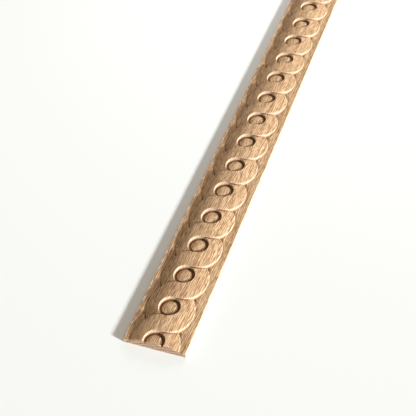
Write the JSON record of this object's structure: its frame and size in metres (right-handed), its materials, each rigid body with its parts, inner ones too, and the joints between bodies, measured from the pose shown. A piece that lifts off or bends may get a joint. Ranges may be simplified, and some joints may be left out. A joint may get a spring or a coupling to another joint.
{
  "type": "carved wood moulding",
  "caption": "Flat-backed oak moulding strip with a crowned face, carved with interlaced S-shaped straps twisting round sunk domed buttons between plain edges.",
  "frame": {"origin": "centre of the flat back, midway between the two square cuts", "axes": "+X along the moulding towards its far cut, +Y across it to the left, +Z out of the carved face"},
  "size_m": [0.388, 0.04, 0.009],
  "materials": {
    "oak": "bare, sanded and lightly waxed"
  },
  "bodies": {
    "root": {"carved_moulding": "oak"}
  },
  "joints": []
}
